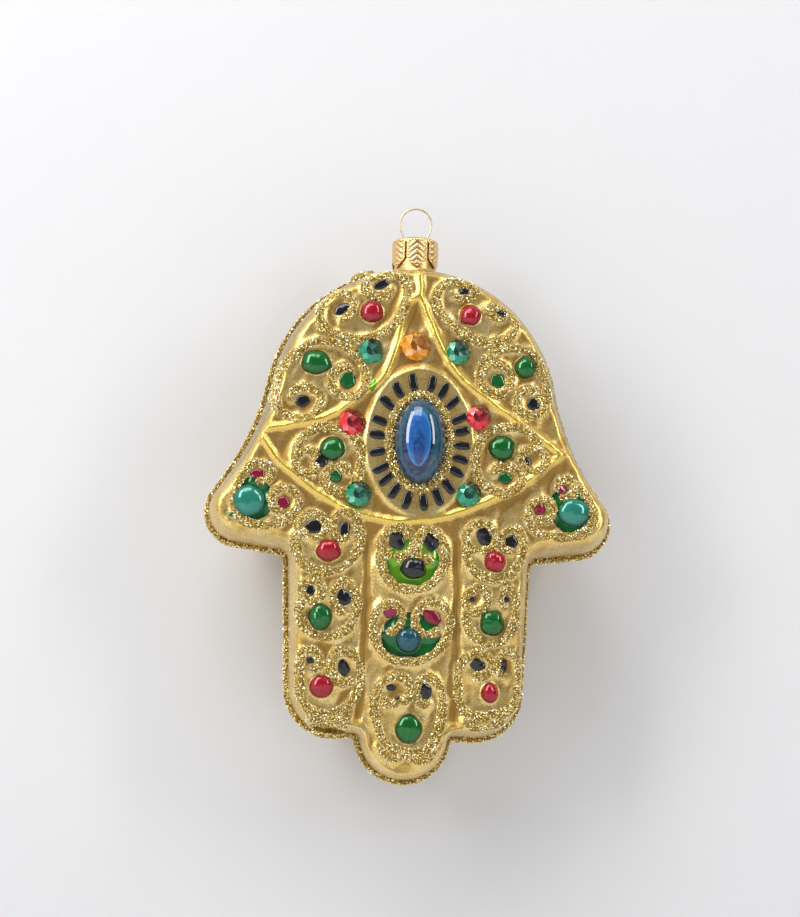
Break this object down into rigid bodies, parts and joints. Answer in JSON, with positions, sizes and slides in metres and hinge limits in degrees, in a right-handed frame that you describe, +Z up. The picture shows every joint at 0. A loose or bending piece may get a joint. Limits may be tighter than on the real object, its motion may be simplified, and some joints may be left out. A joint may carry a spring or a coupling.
{
  "type": "hamsa hand ornament",
  "caption": "Hollow blown-glass open-hand ornament with an eye cabochon, rhinestones, enamel bosses and glitter lines, a slit metal cap and a wire hanging loop.",
  "frame": {"origin": "the hang point, inside the top of the wire loop", "axes": "+Z up along the hanging line, the decorated face looks along -Y, +X to the right of someone who looks at it"},
  "size_m": [0.085, 0.0304, 0.1215],
  "materials": {
    "lacquered_glass": "silvered inside, satin champagne-gold lacquer outside",
    "cap_metal": "thin pressed sheet, peach-gold anodised, embossed",
    "hanger_wire": "thin spring wire, pale brass plated",
    "gold_glitter": "antique-gold flakes in clear glue",
    "blue_cabochon": "foil-backed, polished",
    "amber_stone": "foil-backed, faceted",
    "red_stone": "foil-backed, faceted",
    "green_stone": "foil-backed, faceted",
    "black_enamel": "gloss",
    "maroon_enamel": "gloss",
    "teal_enamel": "pearly gloss",
    "red_enamel": "gloss",
    "green_enamel": "gloss"
  },
  "bodies": {
    "glass": {"enamel_black_dots": "black_enamel", "enamel_eye_left": "green_enamel", "enamel_eye_right": "green_enamel", "enamel_green_dots": "green_enamel", "enamel_left_finger_1": "red_enamel", "enamel_left_finger_2": "green_enamel", "enamel_left_finger_3": "red_enamel", "enamel_maroon_dots": "maroon_enamel", "enamel_mid_left": "green_enamel", "enamel_mid_right": "green_enamel", "enamel_middle_finger_1": "black_enamel", "enamel_middle_finger_2": "teal_enamel", "enamel_middle_finger_3": "green_enamel", "enamel_right_finger_1": "red_enamel", "enamel_right_finger_2": "green_enamel", "enamel_right_finger_3": "red_enamel", "enamel_thumb_left": "teal_enamel", "enamel_thumb_right": "teal_enamel", "enamel_top_left": "red_enamel", "enamel_top_right": "red_enamel", "eye_cabochon": "blue_cabochon", "eye_glitter_ring": "gold_glitter", "eye_lash_dashes": "black_enamel", "glass_body": "lacquered_glass", "glitter_eye_left": "gold_glitter", "glitter_eye_right": "gold_glitter", "glitter_left_finger_1": "gold_glitter", "glitter_left_finger_2": "gold_glitter", "glitter_left_finger_3": "gold_glitter", "glitter_mid_left": "gold_glitter", "glitter_mid_right": "gold_glitter", "glitter_middle_finger_1": "gold_glitter", "glitter_middle_finger_2": "gold_glitter", "glitter_middle_finger_3": "gold_glitter", "glitter_right_finger_1": "gold_glitter", "glitter_right_finger_2": "gold_glitter", "glitter_right_finger_3": "gold_glitter", "glitter_thumb_left": "gold_glitter", "glitter_thumb_right": "gold_glitter", "glitter_top_left": "gold_glitter", "glitter_top_right": "gold_glitter", "rhinestone_amber_top": "amber_stone", "rhinestone_green_lower_left": "green_stone", "rhinestone_green_lower_right": "green_stone", "rhinestone_green_upper_left": "green_stone", "rhinestone_green_upper_right": "green_stone", "rhinestone_red_left": "red_stone", "rhinestone_red_right": "red_stone", "seam_glitter_rope": "gold_glitter"},
    "cap": {"cap": "cap_metal"},
    "hanger": {"hanger_wire": "hanger_wire"}
  },
  "joints": [
    {"name": "cap_lift", "type": "slide", "parent": "glass", "child": "cap", "axis": [0, 0, 1], "range_m": [0, 0.022]},
    {"name": "hanger_tilt", "type": "hinge", "parent": "cap", "child": "hanger", "pos_m": [0, 0, -0.0069], "axis": [1, 0, 0], "range_deg": [-12, 12]}
  ]
}
